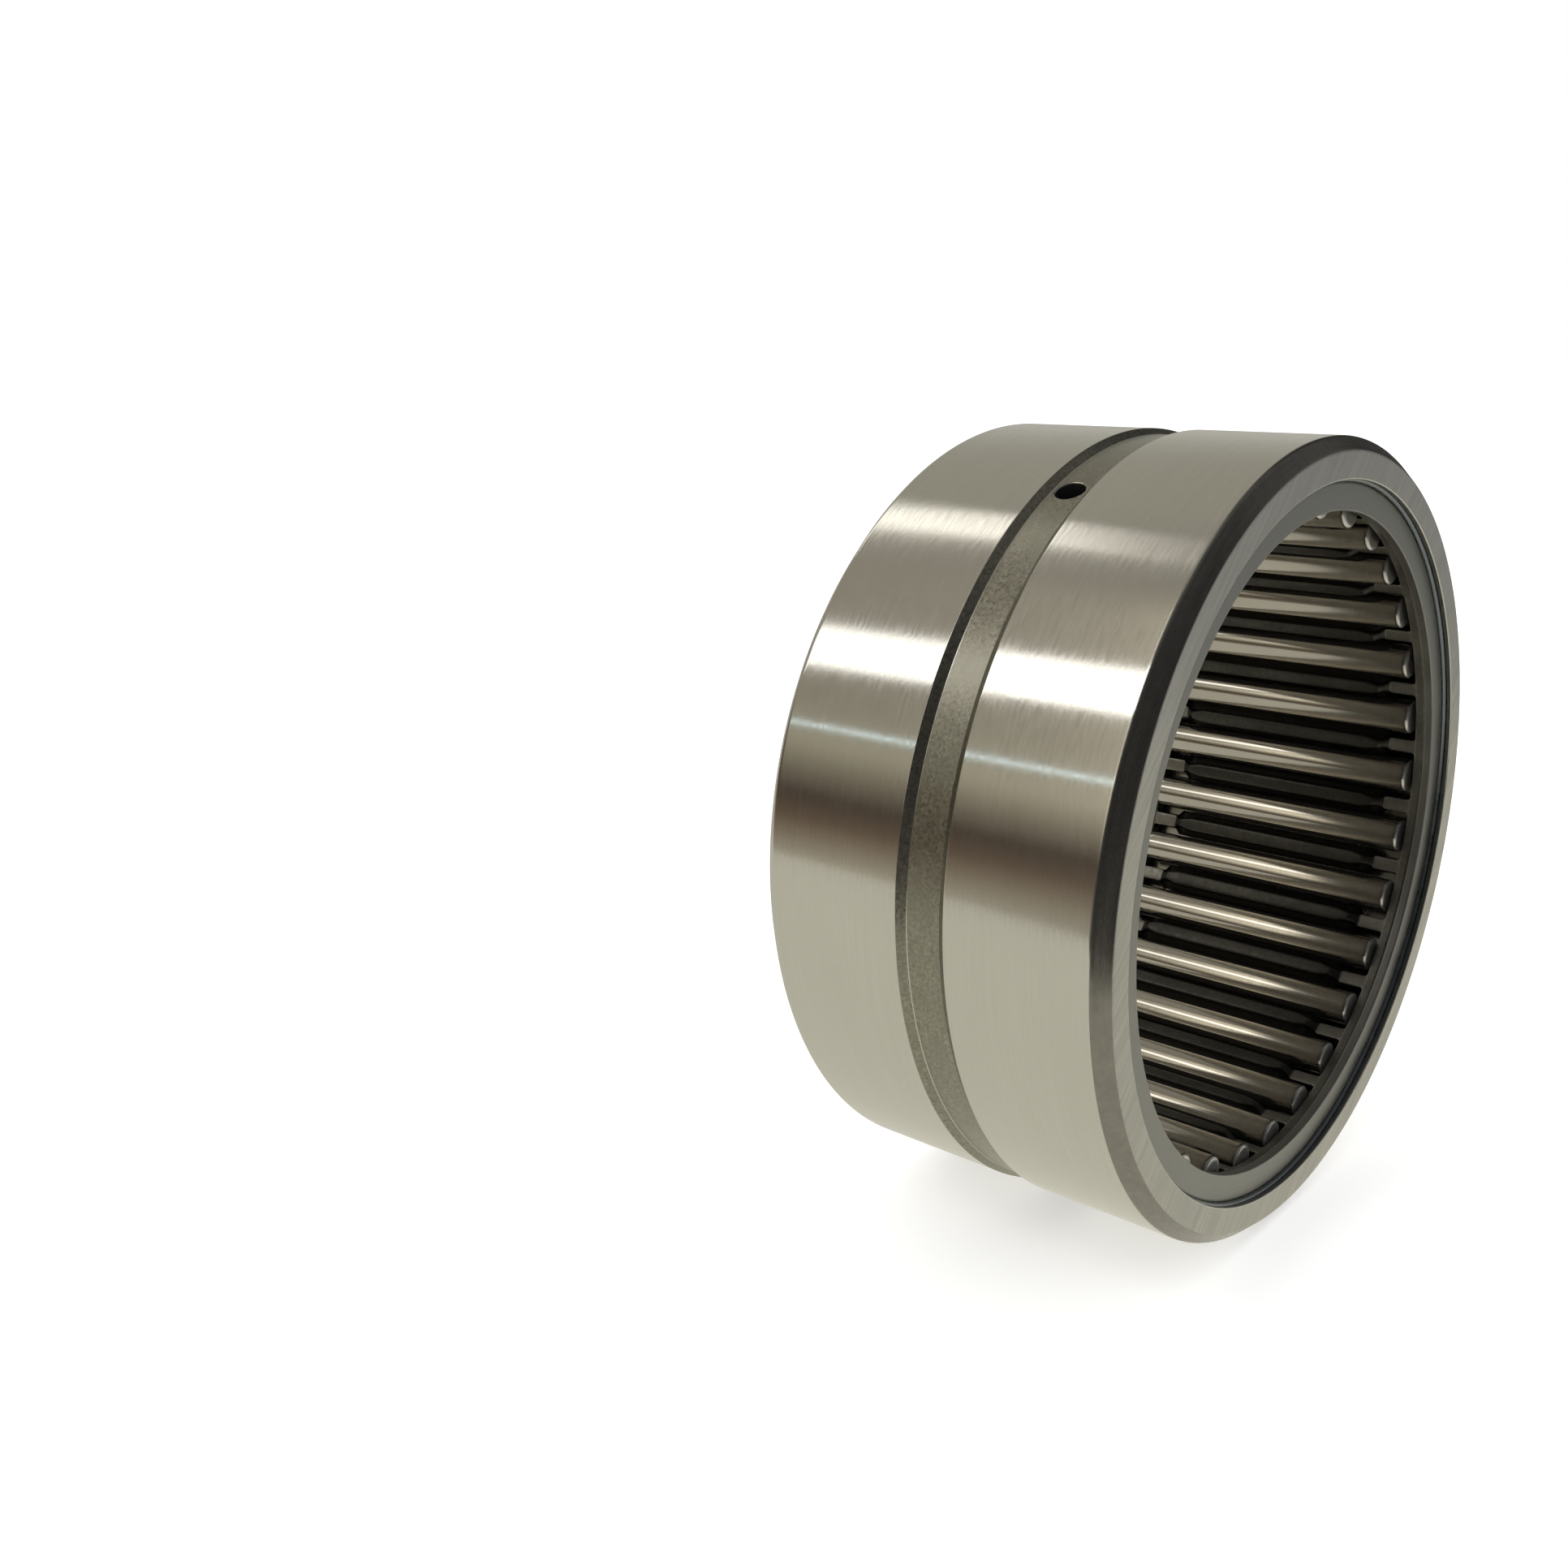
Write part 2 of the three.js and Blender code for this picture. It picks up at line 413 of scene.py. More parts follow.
def face_finish():
    """End faces: flat ground, with fine straight strokes."""
    finish = Finish("steel_ground_face")
    turn = (0, math.radians(STROKE_ANGLE), 0)
    strokes = finish.noise((2600, 300, 90), detail=4, roughness=0.62, turn=turn)
    broad = finish.noise((520, 300, 60), turn=turn)
    clouds = finish.noise((45, 45, 45))
    dark, light = (0.37, 0.365, 0.335), (0.50, 0.495, 0.46)
    band_tone, cloud_tone = (0.36, 0.355, 0.33), (0.40, 0.395, 0.37)
    tone = finish.mix(finish.remap(strokes, NOISE_RANGE, (0, 1)), dark, light)
    tone = finish.mix(finish.remap(broad, (0.35, 0.68), (0, 0.22)), tone, band_tone)
    finish.colour(finish.mix(finish.remap(clouds, NOISE_RANGE, (0, 0.3)), tone, cloud_tone))
    finish.roughness(finish.remap(broad, NOISE_RANGE, (0.28, 0.40)))
    finish.bump(strokes, 0.6, 0.006)
    finish.bump(broad, 0.25, 0.006)
    return finish.material


def chamfer_finish():
    """Turned chamfers: darker, with a slightly uneven skin."""
    finish = Finish("steel_turned_chamfer")
    skin = finish.noise((900, 900, 900), detail=4)
    rings = finish.noise((70, 4200, 70))
    finish.colour(finish.mix(skin, (0.21, 0.20, 0.18), (0.31, 0.30, 0.27)))
    finish.roughness(finish.remap(rings, NOISE_RANGE, (0.20, 0.32)))
    finish.bump(rings, 0.5, 0.003)
    finish.bump(skin, 0.35, 0.006)
    return finish.material


def groove_painted_shade_finish():
    """Oil groove: matt, speckled as left by heat treatment; all its tones are darkened as painted
    shade in the recess.
    """
    finish = Finish("steel_matt_groove_painted_shade")
    speckle = finish.noise((2600, 2600, 2600), detail=4, roughness=0.65)
    blotch = finish.noise((240, 700, 240), detail=4)
    # These tones hold the real speckle, and all are kept dark as painted shade in the groove.
    dark, light, blotch_tone = (0.20, 0.19, 0.155), (0.40, 0.385, 0.32), (0.25, 0.24, 0.195)
    tone = finish.mix(finish.remap(speckle, (0.35, 0.7), (0, 1)), dark, light)
    finish.colour(finish.mix(finish.remap(blotch, (0.35, 0.7), (0, 0.7)), tone, blotch_tone))
    finish.roughness(finish.remap(speckle, NOISE_RANGE, (0.26, 0.40)))
    finish.bump(speckle, 0.6, 0.006)
    finish.bump(blotch, 0.3, 0.006)
    return finish.material


def seat_finish():
    """Counterbore and wire groove: turned, dark."""
    finish = Finish("steel_turned_seat")
    rings = finish.noise((60, 4000, 60))
    skin = finish.noise((500, 500, 500))
    finish.colour(finish.mix(skin, (0.13, 0.14, 0.14), (0.22, 0.23, 0.225)))
    finish.roughness(finish.remap(rings, NOISE_RANGE, (0.33, 0.48)))
    finish.bump(rings, 0.5, 0.004)
    return finish.material


def raceway_painted_shade_finish():
    """Raceway: honed round the axis; its tones are darker than the outside's as painted shade
    behind the rollers and the cage.
    """
    finish = Finish("steel_honed_raceway_painted_shade", anisotropy=0.7)
    rings = finish.noise((70, 5200, 70))
    finish.colour(finish.mix(rings, (0.20, 0.19, 0.17), (0.30, 0.285, 0.26)))
    finish.roughness(finish.remap(rings, NOISE_RANGE, (0.18, 0.28)))
    finish.bump(rings, 0.4, 0.0015)
    return finish.material


def side_finish():
    """Side rings: turned washers with faint rings."""
    finish = Finish("steel_side_ring")
    rings = finish.turned_rings(9000)
    clouds = finish.noise((160, 160, 160), detail=4)
    tone = finish.mix(clouds, (0.25, 0.25, 0.235), (0.33, 0.33, 0.31))
    ring_tone = (0.21, 0.21, 0.195)
    finish.colour(finish.mix(finish.remap(rings, (0.35, 0.65), (0, 0.5)), tone, ring_tone))
    finish.roughness(finish.remap(clouds, NOISE_RANGE, (0.36, 0.46)))
    finish.bump(rings, 0.4, 0.003)
    return finish.material


def cage_finish(name, shade):
    """Pressed cage: satin with soft blotches; shade is the tone of its lightest parts, and a low
    shade darkens a copy as painted shade.
    """
    finish = Finish(name)
    skin = finish.noise((1500, 1500, 1500), detail=4, roughness=0.6)
    blotch = finish.noise((190, 120, 190), detail=4)
    dark, light, spot = (
        [shade * value for value in colour]
        for colour in ((0.60, 0.575, 0.50), (1.0, 0.96, 0.84), (0.47, 0.45, 0.39))
    )
    tone = finish.mix(finish.remap(blotch, NOISE_RANGE, (0, 1)), dark, light)
    finish.colour(finish.mix(finish.remap(skin, (0.35, 0.7), (0, 0.4)), tone, spot))
    finish.roughness(finish.remap(skin, NOISE_RANGE, (0.36, 0.5)))
    finish.bump(skin, 0.35, 0.006)
    return finish.material


def roller_finish():
    """Rollers: superfinished round their own axes."""
    finish = Finish("steel_polished_roller", metallic=0.985)
    lines = finish.noise((160, 5200, 160))
    clouds = finish.noise((220, 90, 220))
    finish.colour(finish.mix(clouds, (0.385, 0.362, 0.32), (0.465, 0.44, 0.392)))
    finish.roughness(finish.remap(lines, NOISE_RANGE, (0.11, 0.17)))
    return finish.material


def hole_finish():
    """Drilled wall of the oil hole: dark and rough."""
    finish = Finish("steel_drilled_hole")
    skin = finish.noise((1800, 1800, 1800))
    finish.colour(finish.mix(skin, (0.03, 0.03, 0.032), (0.07, 0.07, 0.072)))
    finish.roughness(0.5)
    finish.bump(skin, 0.5, 0.008)
    return finish.material


def skin_finish(name, stretch, dark, light, roughness, strength, height):
    """A plain skin, whose tone, roughness and bump follow one noise."""
    finish = Finish(name)
    skin = finish.noise(stretch, detail=4)
    finish.colour(finish.mix(skin, dark, light))
    finish.roughness(finish.remap(skin, NOISE_RANGE, roughness))
    finish.bump(skin, strength, height)
    return finish.material


def wire_finish():
    return skin_finish(
        "steel_spring_wire", (700, 700, 700), (0.14, 0.16, 0.175), (0.24, 0.26, 0.275),
        roughness=(0.24, 0.38), strength=0.4, height=0.006,
    )


def punched_painted_shade_finish():
    """Punched walls of the cage's windows: rough, and near black as painted shade between the bars
    and the rollers.
    """
    return skin_finish(
        "steel_punched_wall_painted_shade", (1300, 500, 1300), (0.008, 0.008, 0.007), (0.026, 0.025, 0.021),
        roughness=(0.42, 0.6), strength=0.5, height=0.008,
    )


def roller_end_finish():
    return skin_finish(
        "steel_roller_end", (1600, 1600, 1600), (0.58, 0.575, 0.555), (0.72, 0.715, 0.69),
        roughness=(0.3, 0.42), strength=0.4, height=0.004,
    )


def edge_painted_highlight_finish():
    """Thin edges: lighter in tone than their neighbours as a painted highlight, and smoother, so
    that the lights catch them.
    """
    return skin_finish(
        "steel_edge_painted_highlight", (900, 900, 900), (0.44, 0.43, 0.39), (0.66, 0.645, 0.60),
        roughness=(0.16, 0.28), strength=0.5, height=0.004,
    )


# ---- outer ring ------------------------------------------------------------

GROUND, FACE, CHAMFER, GROOVE, SEAT, RACEWAY, EDGE, HOLE = range(8)
ring_materials = [
    ground_finish(),
    face_finish(),
    chamfer_finish(),
    groove_painted_shade_finish(),
    seat_finish(),
    raceway_painted_shade_finish(),
    edge_painted_highlight_finish(),
    hole_finish(),
]
GROOVE_FLOOR_R = OUTER_R - GROOVE_DEPTH


def outer_ring_corners():
    chamfer_r = OUTER_R - OUTER_CHAMFER
    shoulder = HALF - OUTER_CHAMFER
    wire_low = WIRE_POS - WIRE_GROOVE_HALF
    wire_high = WIRE_POS + WIRE_GROOVE_HALF
    return [
        (chamfer_r, -HALF, CHAMFER_TO_FACE, CHAMFER),
        (OUTER_R, -shoulder, CHAMFER_TO_OUTSIDE, GROUND),
        (OUTER_R, -GROOVE_HALF, GROOVE_LIP, GROOVE, EDGE),
        (GROOVE_FLOOR_R, -GROOVE_FLOOR_HALF, GROOVE_FOOT_FRONT, GROOVE),
        (GROOVE_FLOOR_R, GROOVE_FLOOR_HALF, GROOVE_FOOT_REAR, GROOVE, EDGE),
        (OUTER_R, GROOVE_HALF, GROOVE_LIP, GROUND, EDGE),
        (OUTER_R, shoulder, CHAMFER_TO_OUTSIDE, CHAMFER),
        (chamfer_r, HALF, CHAMFER_TO_FACE, FACE),
        (SEAT_R, HALF, SEAT_LIP, SEAT, EDGE),
        (SEAT_R, wire_high, INNER_CORNER, SEAT),
        (WIRE_GROOVE_R, wire_high, WIRE_GROOVE_CORNER, SEAT),
        (WIRE_GROOVE_R, wire_low, WIRE_GROOVE_CORNER, SEAT),
        (SEAT_R, wire_low, INNER_CORNER, SEAT),
        (SEAT_R, SEAT_END, INNER_CORNER, SEAT),
        (RACEWAY_R, SEAT_END, INNER_CORNER, RACEWAY),
        (RACEWAY_R, -SEAT_END, INNER_CORNER, SEAT),
        (SEAT_R, -SEAT_END, INNER_CORNER, SEAT),
        (SEAT_R, -wire_low, INNER_CORNER, SEAT),
        (WIRE_GROOVE_R, -wire_low, WIRE_GROOVE_CORNER, SEAT),
        (WIRE_GROOVE_R, -wire_high, WIRE_GROOVE_CORNER, SEAT),
        (SEAT_R, -wire_high, INNER_CORNER, SEAT),
        (SEAT_R, -HALF, SEAT_LIP, FACE, EDGE),
    ]


def oil_hole_tool():
    """A drill shape along the hole's axis, flared where it leaves the groove's floor."""
    flare = OIL_HOLE_R + OIL_HOLE_BEVEL
    profile = [
        (OIL_HOLE_R, RACEWAY_R - DRILL_OVERRUN),
        (OIL_HOLE_R, GROOVE_FLOOR_R - OIL_HOLE_BEVEL),
        (OIL_HOLE_R + 0.35 * OIL_HOLE_BEVEL, GROOVE_FLOOR_R - 0.5 * OIL_HOLE_BEVEL),
        (flare, GROOVE_FLOOR_R),
        (flare + DRILL_MARGIN, GROOVE_FLOOR_R + DRILL_MARGIN),
        (flare + DRILL_MARGIN, OUTER_R + DRILL_OVERRUN),
    ]
    sections = [
        [(radius * math.cos(turn), radius * math.sin(turn), out)
         for turn in circle_angles(OIL_HOLE_SIDES)]
        for radius, out in profile
    ]
    points, faces = tube(sections)
    bevel = range(OIL_HOLE_SIDES, 3 * OIL_HOLE_SIDES)
    finishes = [EDGE if i in bevel else HOLE for i in range(len(faces))]
    tool = make_object("oil_hole_tool", points, faces, finishes, ring_materials)
    tool.data.transform(Matrix.Rotation(math.radians(90 - OIL_HOLE_ANGLE), 4, "Y"))
    return tool


outer_ring = revolve(
    "outer_ring_machined", round_corners(outer_ring_corners()), ring_materials
)
apply_boolean(outer_ring, oil_hole_tool(), "DIFFERENCE")
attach(outer_ring, "ring_assembly")
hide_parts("outer_ring")

# ---- side rings and snap rings ---------------------------------------------

side_material = side_finish()
wire_material = wire_finish()


def side_ring(name, sign):
    corners = [
        (SIDE_BORE_R, sign * SIDE_INNER, SIDE_HIDDEN_CORNER, 0),
        (SIDE_OUTER_R, sign * SIDE_INNER, SIDE_HIDDEN_CORNER, 0),
        (SIDE_OUTER_R, sign * SIDE_FACE, SIDE_CORNER, 0),
        (SIDE_BORE_R, sign * SIDE_FACE, SIDE_BORE_CORNER, 0),
    ]
    return revolve(name, round_corners(corners, steps=5), [side_material])


def snap_ring(name, sign):
    opening = math.radians(WIRE_GAP_ANGLE)
    begin = math.radians(WIRE_GAP_AT) + opening / 2
    sections = []
    for step in range(WIRE_STEPS + 1):
        angle = begin + step / WIRE_STEPS * (2 * math.pi - opening)
        wire_r = WIRE_R * (WIRE_END_SHARE if step in (0, WIRE_STEPS) else 1.0)
        sections.append([
            polar(WIRE_RING_R + wire_r * math.cos(turn),
                  sign * WIRE_POS + wire_r * math.sin(turn), angle)
            for turn in circle_angles(WIRE_SIDES)
        ])
    points, faces = tube(sections)
    return make_object(name, points, faces, [0] * len(faces), [wire_material])


for end, sign in (("front", -1), ("rear", 1)):
    for kind, maker, word in (("side_ring", side_ring, "turned"), ("snap_ring", snap_ring, "wire")):
        piece = maker(f"{kind}_{end}_{word}", sign)
        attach(piece, "ring_assembly")
        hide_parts(f"{kind}_{end}")

# ---- cage ------------------------------------------------------------------

# Half of a bar's section as (radius, half width), from the bore side outwards,
# in the middle of the bar and at its tabs.
BAR_CENTRE = [
    (38.95, 0.0), (38.95, 0.52), (38.98, 0.74), (39.07, 0.86), (39.35, 0.96), (39.65, 1.20),
    (39.90, 1.62), (40.12, 1.84), (40.29, 1.76), (40.35, 1.50), (40.35, 0.0),
]
BAR_TAB = [
    (40.00, 0.0), (40.00, 0.58), (40.02, 0.76), (40.09, 0.88), (40.25, 0.94), (40.50, 0.97),
    (40.80, 1.00), (41.10, 1.02), (41.23, 0.97), (41.30, 0.80), (41.30, 0.0),
]
WALL_SIDES = (3, 4, 5, 6, 7, 12, 13, 14, 15, 16)  # sides of a section that face the rollers
FACE_POINTS = 6  # points of a half section, from the bore side, that the tip narrows

# Places along a bar, measured from its middle.
TIP = (12.0, 14.2)  # where the bore side narrows
SLOPE_INNER = (13.85, 15.2)  # where the bore side slopes out to the tab
SLOPE_OUTER = (13.6, 14.95)  # where the outer side does
SHOULDER = (14.6, 15.45)  # where the width becomes the tab's
TIP_NARROWING = 0.4
BEND_ROUNDING = 0.45

MIDDLE_STATIONS = [0.0, 5.0, 10.0, 12.0, 12.3, 12.6, 12.9, 13.2]
SLOPE_STATIONS = [13.45 + 0.11 * i for i in range(20)]
TAB_STATIONS = [15.8, 17.0]
FLARE_STATIONS = [
    WINDOW_END - short for short in (0.7, 0.5, 0.4, 0.3, 0.2, 0.12, 0.06, 0.0)
]

BAR_MIDDLE, PUNCHED, CAGE_ENDS = range(3)
# The bars' copy is far darker than the ends' copy: painted shade inside the bore.
BAR_PAINTED_SHADE = 0.072
ENDS_SHADE = 0.25
cage_materials = [
    cage_finish("steel_cage_bars_painted_shade", BAR_PAINTED_SHADE),
    punched_painted_shade_finish(),
    cage_finish("steel_cage_ends", ENDS_SHADE),
]


def bend(low, high, value):
    """A slope from 0 to 1 with two softened bends: part straight and part smooth."""
    straight = clamped_share(low, high, value)
    return (1 - BEND_ROUNDING) * straight + BEND_ROUNDING * smoothstep(low, high, value)


def bar_section(along, angle):
    """One section of the bar at an angle round the axis."""
    place = abs(along)
    shift_inner = bend(*SLOPE_INNER, place)
    shift_outer = bend(*SLOPE_OUTER, place)
    narrow = smoothstep(*SHOULDER, place)
    tip = 1 - TIP_NARROWING * smoothstep(*TIP, place)
    into_flange = clamped_share(WINDOW_END - TAB_FLARE, WINDOW_END, place)
    flare = TAB_FLARE * (1 - math.sqrt(1 - into_flange**2))
    last = len(BAR_CENTRE) - 1
    half = []
    for i, (centre, tab) in enumerate(zip(BAR_CENTRE, BAR_TAB)):
        depth = i / last
        shift = shift_inner * (1 - depth) + shift_outer * depth
        radius = centre[0] + (tab[0] - centre[0]) * shift
        middle = centre[1] * (tip if i < FACE_POINTS else 1)
        width = middle + (tab[1] - middle) * narrow
        if width > 0:
            width += flare
        half.append((radius, width))
    both = half + [(radius, -width) for radius, width in half[-2:0:-1]]
    cos_a, sin_a = math.cos(angle), math.sin(angle)
    return [(r * cos_a - w * sin_a, along, r * sin_a + w * cos_a) for r, w in both]


def bar_stations():
    """Places along a bar: close together at its bends and ends, far apart between them."""
    half = MIDDLE_STATIONS + SLOPE_STATIONS + TAB_STATIONS + FLARE_STATIONS + [BAR_END]
    return [-place for place in half[:0:-1]] + half


def bars():
    """The bars between the rollers, as one mesh."""
    points, faces, finishes = [], [], []
    stations = bar_stations()
    count = 2 * len(BAR_CENTRE) - 2
    for place in range(ROLLER_COUNT):
        angle = math.radians(360 / ROLLER_COUNT * (place + 0.5))
        bar_points, bar_faces = tube([bar_section(along, angle) for along in stations])
        first = len(points)
        points += bar_points
        faces += [tuple(first + i for i in face) for face in bar_faces]
        for i in range(len(bar_faces)):
            if i % count in WALL_SIDES:
                finishes.append(PUNCHED)
            elif abs(stations[i // count]) > SLOPE_INNER[1]:
                finishes.append(CAGE_ENDS)
            else:
                finishes.append(BAR_MIDDLE)
    return make_object("cage_bars", points, faces, finishes, cage_materials)


def flanges():
    """The two end rings of the cage, as one mesh."""
    parts = []
    for sign in (-1, 1):
        corners = [
            (FLANGE_INNER_R, sign * WINDOW_END, WINDOW_CORNER_INNER, CAGE_ENDS),
            (FLANGE_R, sign * WINDOW_END, WINDOW_CORNER_OUTER, CAGE_ENDS),
            (FLANGE_R, sign * CAGE_END, FLANGE_CORNER, CAGE_ENDS),
            (FLANGE_INNER_R, sign * CAGE_END, FLANGE_CORNER, CAGE_ENDS),
        ]
        outline = round_corners(corners, steps=4)
        parts.append(revolve(f"cage_flange_{sign + 1}", outline, cage_materials))
    keep, other = parts
    work = bmesh.new()
    work.from_mesh(keep.data)
    work.from_mesh(other.data)
    work.to_mesh(keep.data)
    work.free()
    bpy.data.objects.remove(other)
    return keep


cage = flanges()
cage.name = "cage_pressed"
apply_boolean(cage, bars(), "UNION")
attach(cage, "cage")
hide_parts("cage")

# ---- rollers ---------------------------------------------------------------

ROLLER_SIDE, ROLLER_END = range(2)
roller_materials = [roller_finish(), roller_end_finish()]

DISH_EDGE = [(-0.15, 1.0), (0.05, 0.3), (0.2, 0.0)]  # (step out from DISH_R, share of depth)
END_SUPPORT = 0.06  # support points beside the rounded corner, on the end and on the side
SIDE_SUPPORT = 0.15
POLISH_MARGIN = 0.06  # how far down the corner the polish of the side reaches


def roller_outline():
    """Outline from the middle of the front end to the middle of the rear, as (radius, along)."""
    flat_r = ROLLER_R - ROLLER_CORNER
    end = [(0.0, ROLLER_HALF - DISH_DEPTH)]
    end += [(DISH_R + step, ROLLER_HALF - share * DISH_DEPTH) for step, share in DISH_EDGE]
    end.append((flat_r - END_SUPPORT, ROLLER_HALF))
    for step in range(ROLLER_CORNER_STEPS + 1):
        turn = math.pi / 2 * step / ROLLER_CORNER_STEPS
        out = flat_r + ROLLER_CORNER * math.sin(turn)
        end.append((out, ROLLER_HALF - ROLLER_CORNER * (1 - math.cos(turn))))
    end.append((ROLLER_R, ROLLER_HALF - ROLLER_CORNER - SIDE_SUPPORT))
    front = [(radius, -along) for radius, along in end]
    return front + end[::-1]


def roller(name, centre):
    """Turns the outline about an axis along Y, and closes both ends at their middles."""
    outline = roller_outline()
    inner = outline[1:-1]
    count = len(inner)
    points, faces, finishes = [], [], []
    for angle in circle_angles(ROLLER_SIDES):
        points += [Vector(polar(radius, along, angle)) + centre for radius, along in inner]
    poles = len(points)
    points += [Vector((0, along, 0)) + centre for along in (outline[0][1], outline[-1][1])]
    for step in range(ROLLER_SIDES):
        here, there = step * count, (step + 1) % ROLLER_SIDES * count
        for i in range(count - 1):
            faces.append((here + i, here + i + 1, there + i + 1, there + i))
            widest = max(inner[i][0], inner[i + 1][0])
            finishes.append(ROLLER_SIDE if widest > ROLLER_R - POLISH_MARGIN else ROLLER_END)
        faces.append((poles, here, there))
        faces.append((poles + 1, there + count - 1, here + count - 1))
        finishes += [ROLLER_END, ROLLER_END]
    return make_object(name, points, faces, finishes, roller_materials)


for place in range(ROLLER_COUNT):
    number = f"{place + 1:02d}"
    low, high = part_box(f"roller_{number}")
    centre = (low + high) / (2 * MM)
    piece = roller(f"roller_{number}_polished", centre)
    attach(piece, f"roller_{number}")
    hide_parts(f"roller_{number}")

# ---- floor -----------------------------------------------------------------

# From here on, lengths are in metres. The camera sees a large floor that is nearly
# white. The steel mirrors a darker table top, 0.64 m across, and the room beyond it.
FLOOR_Z = -OUTER_R * MM
FLOOR_R = 6.0
TABLE_R = 0.32
TABLE_PLACE = (0.1, 0.15, 0.0)
TABLE_DROP = 0.0002
DISC_SIDES = 96


def disc(name, radius, height, material):
    mesh = bpy.data.meshes.new(name)
    rim = [
        (radius * math.cos(turn), radius * math.sin(turn), height)
        for turn in circle_angles(DISC_SIDES)
    ]
    mesh.from_pydata(rim, [], [tuple(range(DISC_SIDES))])
    mesh.materials.append(material)
    piece = bpy.data.objects.new(name, mesh)
    bpy.context.scene.collection.objects.link(piece)
    return piece


def floor_material(name, albedo, glow):
    material = bpy.data.materials.new(name)
    material.use_nodes = True
    shader = material.node_tree.nodes["Principled BSDF"]
    shader.inputs["Base Color"].default_value = (*albedo, 1.0)
    shader.inputs["Roughness"].default_value = 1.0
    shader.inputs["Specular IOR Level"].default_value = 0.0
    shader.inputs["Emission Color"].default_value = (1.0, 1.0, 1.0, 1.0)
    shader.inputs["Emission Strength"].default_value = glow
    return material


white = floor_material("floor_white", (0.86, 0.86, 0.85), 0.42)
pale = floor_material("floor_pale", (0.56, 0.545, 0.47), 0.0)
floor = disc("floor", FLOOR_R, FLOOR_Z, white)
floor.visible_glossy = False
table = disc("floor_mirrored", TABLE_R, FLOOR_Z - TABLE_DROP, pale)
table.location = TABLE_PLACE
table.visible_camera = False
table.visible_diffuse = False
table.visible_shadow = False

# ---- world -----------------------------------------------------------------

# Each side of the room is a list of (elevation in degrees, colour); all sides share
# the colours straight below and straight above.
BELOW = (-90, (0.42, 0.40, 0.33))
ABOVE = (90, (0.42, 0.40, 0.35))
WINDOW_GLOW = (1.6, 1.47, 1.18)
BEHIND_LEFT = [
    (-19, (0.44, 0.415, 0.34)), (-12, (0.44, 0.40, 0.315)), (-6, (0.26, 0.205, 0.15)),
    (-3, (0.16, 0.115, 0.08)), (3, (0.075, 0.055, 0.042)), (9, (0.22, 0.195, 0.145)),
    (16, (0.44, 0.41, 0.31)), (20, (0.38, 0.35, 0.27)), (28, (0.33, 0.305, 0.25)),
    (50, (0.36, 0.335, 0.285)), (64, (0.33, 0.31, 0.26)),
]
BEHIND_RIGHT = [
    (-8, (0.46, 0.44, 0.385)), (12, (0.54, 0.53, 0.475)), (35, (0.42, 0.41, 0.35)),
    (50, (0.42, 0.41, 0.345)),
]
AHEAD_DIM = [
    (-25, (0.10, 0.095, 0.085)), (0, (0.06, 0.055, 0.05)), (25, (0.035, 0.035, 0.034)),
    (50, (0.05, 0.05, 0.05)), (75, (0.16, 0.16, 0.145)),
]
AHEAD_PALE = [
    (-12, (0.46, 0.455, 0.43)), (0, (0.37, 0.37, 0.355)), (14, (0.26, 0.26, 0.25)),
    (40, (0.10, 0.10, 0.10)),
]
WINDOW = [(3, (0.16, 0.13, 0.10)), (19, WINDOW_GLOW), (64, WINDOW_GLOW)]


def ramp(tree, height, stops):
    """Colours by elevation; height is 0 straight below and 1 straight above."""
    stops = [BELOW, *stops, ABOVE]
    node = tree.nodes.new("ShaderNodeValToRGB")
    tree.links.new(height, node.inputs["Fac"])
    elements = node.color_ramp.elements
    while len(elements) < len(stops):
        elements.new(0.5)
    for element, (elevation, colour) in zip(elements, stops):
        element.position = 0.5 + 0.5 * math.sin(math.radians(elevation))
        element.color = (*colour, 1.0)
    return node.outputs["Color"]


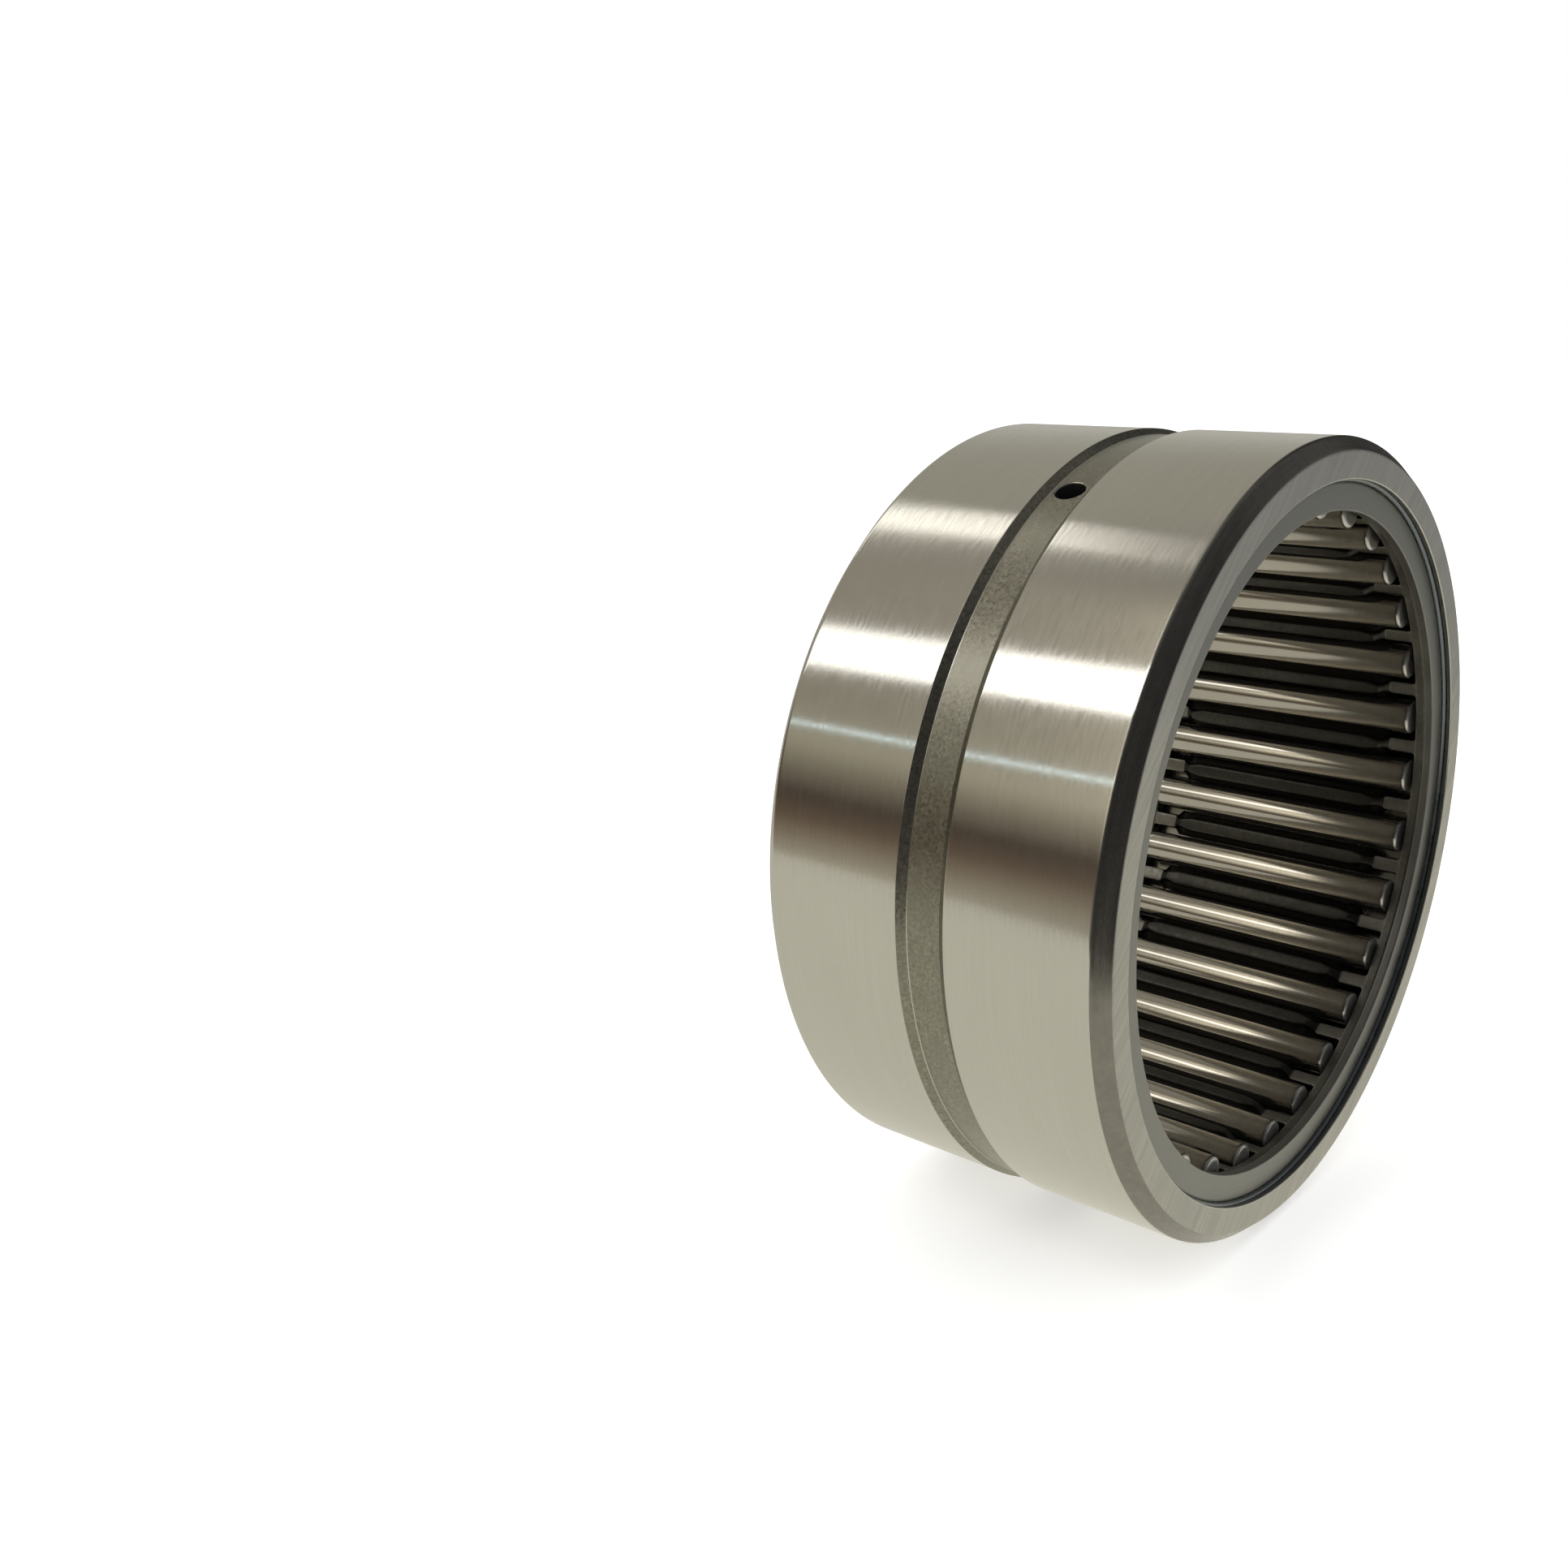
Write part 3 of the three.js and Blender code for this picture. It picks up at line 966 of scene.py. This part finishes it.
def build_world():
    """White for the camera and for soft light; a room with a dark horizon in reflections."""
    world = bpy.data.worlds.new("studio")
    bpy.context.scene.world = world
    world.use_nodes = True
    tree = world.node_tree
    tree.nodes.clear()
    link = tree.links.new

    coordinates = tree.nodes.new("ShaderNodeTexCoord")
    axes = tree.nodes.new("ShaderNodeSeparateXYZ")
    link(coordinates.outputs["Generated"], axes.inputs[0])

    def spread(axis, low, high, interpolation="SMOOTHSTEP"):
        """Turns a range of a direction's X, Y or Z into 0 to 1."""
        node = tree.nodes.new("ShaderNodeMapRange")
        node.interpolation_type = interpolation
        link(axes.outputs[axis], node.inputs["Value"])
        node.inputs["From Min"].default_value = low
        node.inputs["From Max"].default_value = high
        return node.outputs["Result"]

    def blend(factor, first, second):
        node = tree.nodes.new("ShaderNodeMix")
        node.data_type = "RGBA"
        link(factor, node.inputs["Factor"])
        link(first, node.inputs[6])
        link(second, node.inputs[7])
        return node.outputs[2]

    height = spread("Z", -1, 1, "LINEAR")
    left, right, dim, pale, window = (
        ramp(tree, height, stops)
        for stops in (BEHIND_LEFT, BEHIND_RIGHT, AHEAD_DIM, AHEAD_PALE, WINDOW)
    )
    behind = blend(spread("X", 0.0, 0.35), left, right)
    ahead = blend(spread("X", 0.3, 0.7), dim, pale)
    front_half = blend(spread("Y", -0.22, -0.02), ahead, dim)
    lit_behind = blend(spread("X", -0.35, -0.1), window, behind)
    behind = blend(spread("Y", 0.395, 0.425), lit_behind, behind)
    room = blend(spread("Y", 0.24, 0.36), front_half, behind)

    path = tree.nodes.new("ShaderNodeLightPath")
    mirrored = tree.nodes.new("ShaderNodeBackground")
    link(room, mirrored.inputs["Color"])
    plain = tree.nodes.new("ShaderNodeBackground")
    plain.inputs["Color"].default_value = (1.0, 1.0, 1.0, 1.0)
    choose = tree.nodes.new("ShaderNodeMixShader")
    link(path.outputs["Is Glossy Ray"], choose.inputs["Fac"])
    link(plain.outputs[0], choose.inputs[1])
    link(mirrored.outputs[0], choose.inputs[2])
    output = tree.nodes.new("ShaderNodeOutputWorld")
    link(choose.outputs[0], output.inputs["Surface"])


build_world()

# ---- lights ----------------------------------------------------------------

COOL = (0.66, 0.87, 1.0)
WARM = (1.0, 0.98, 0.93)
NEUTRAL = (1.0, 1.0, 1.0)


def softbox(name, centre, target, across, along, radiance, colour):
    """A rectangular area light at centre facing target; its long side lies along Y."""
    data = bpy.data.lights.new(name, "AREA")
    data.shape = "RECTANGLE"
    data.size = across
    data.size_y = along
    data.energy = radiance * math.pi * across * along
    data.color = colour
    light = bpy.data.objects.new(name, data)
    bpy.context.scene.collection.objects.link(light)
    back = (Vector(centre) - Vector(target)).normalized()
    long_side = (Vector((0, 1, 0)) - back * back.y).normalized()
    short_side = long_side.cross(back)
    basis = Matrix((short_side, long_side, back)).transposed().to_4x4()
    light.matrix_world = Matrix.Translation(centre) @ basis
    light.visible_camera = False


softbox(
    "window_left", centre=(-0.549, 0.62, 0.642), target=(-0.04, 0.62, 0.025),
    across=0.190, along=1.1, radiance=2.0, colour=NEUTRAL,
)
softbox(
    "window_thin", centre=(-0.858, 0.65, 0.402), target=(-0.04, 0.65, 0.017),
    across=0.007, along=0.9, radiance=3.9, colour=COOL,
)
softbox(
    "window_top", centre=(0.104, 0.775, 0.826), target=(-0.028, 0.775, 0.037),
    across=0.146, along=0.62, radiance=1.7, colour=WARM,
)

# ---- camera ----------------------------------------------------------------

AZIMUTH = math.radians(-48.834)
ELEVATION = math.radians(15.409)
ROLL = math.radians(-0.307)
CAMERA_BACK = 0.205306
CAMERA_LEFT = 0.045344
CAMERA_UP = 0.004269
LENS = 37.4715  # mm, for the sensor's width
SENSOR_WIDTH = 36
NEAREST_SEEN = 0.005


def build_camera():
    cos_e = math.cos(ELEVATION)
    back = Vector((math.sin(AZIMUTH) * cos_e, -math.cos(AZIMUTH) * cos_e, math.sin(ELEVATION)))
    right = (-back).cross(Vector((0, 0, 1))).normalized()
    up = right.cross(-back)
    rolled_right = right * math.cos(ROLL) + up * math.sin(ROLL)
    rolled_up = up * math.cos(ROLL) - right * math.sin(ROLL)
    place = back * CAMERA_BACK - right * CAMERA_LEFT + up * CAMERA_UP
    data = bpy.data.cameras.new("camera")
    data.lens = LENS
    data.sensor_width = SENSOR_WIDTH
    data.clip_start = NEAREST_SEEN
    camera = bpy.data.objects.new("camera", data)
    bpy.context.scene.collection.objects.link(camera)
    basis = Matrix((rolled_right, rolled_up, back)).transposed().to_4x4()
    camera.matrix_world = Matrix.Translation(place) @ basis
    bpy.context.scene.camera = camera


build_camera()
bpy.context.scene.view_settings.view_transform = "Standard"
